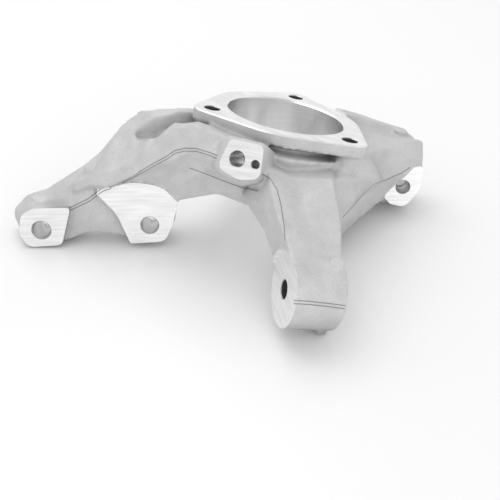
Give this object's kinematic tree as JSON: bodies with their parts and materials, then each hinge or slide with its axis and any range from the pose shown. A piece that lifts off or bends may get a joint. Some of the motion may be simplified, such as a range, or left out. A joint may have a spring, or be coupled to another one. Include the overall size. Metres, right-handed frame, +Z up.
{
  "type": "steering knuckle",
  "caption": "Cast aluminium steering knuckle with hub flange, strut flange, steering arm and clamp for a ball joint.",
  "frame": {"origin": "centre of the hub bore on the bearing face", "axes": "+Z up, as the casting lies on a flat surface on its three feet; the strut flange points to -X, the ball joint clamp to +X and the steering arm to -Y"},
  "size_m": [0.3332, 0.2527, 0.1081],
  "materials": {
    "cast_aluminium": "as cast, with machined faces and bores"
  },
  "bodies": {
    "root": {"knuckle": "cast_aluminium"}
  },
  "joints": []
}
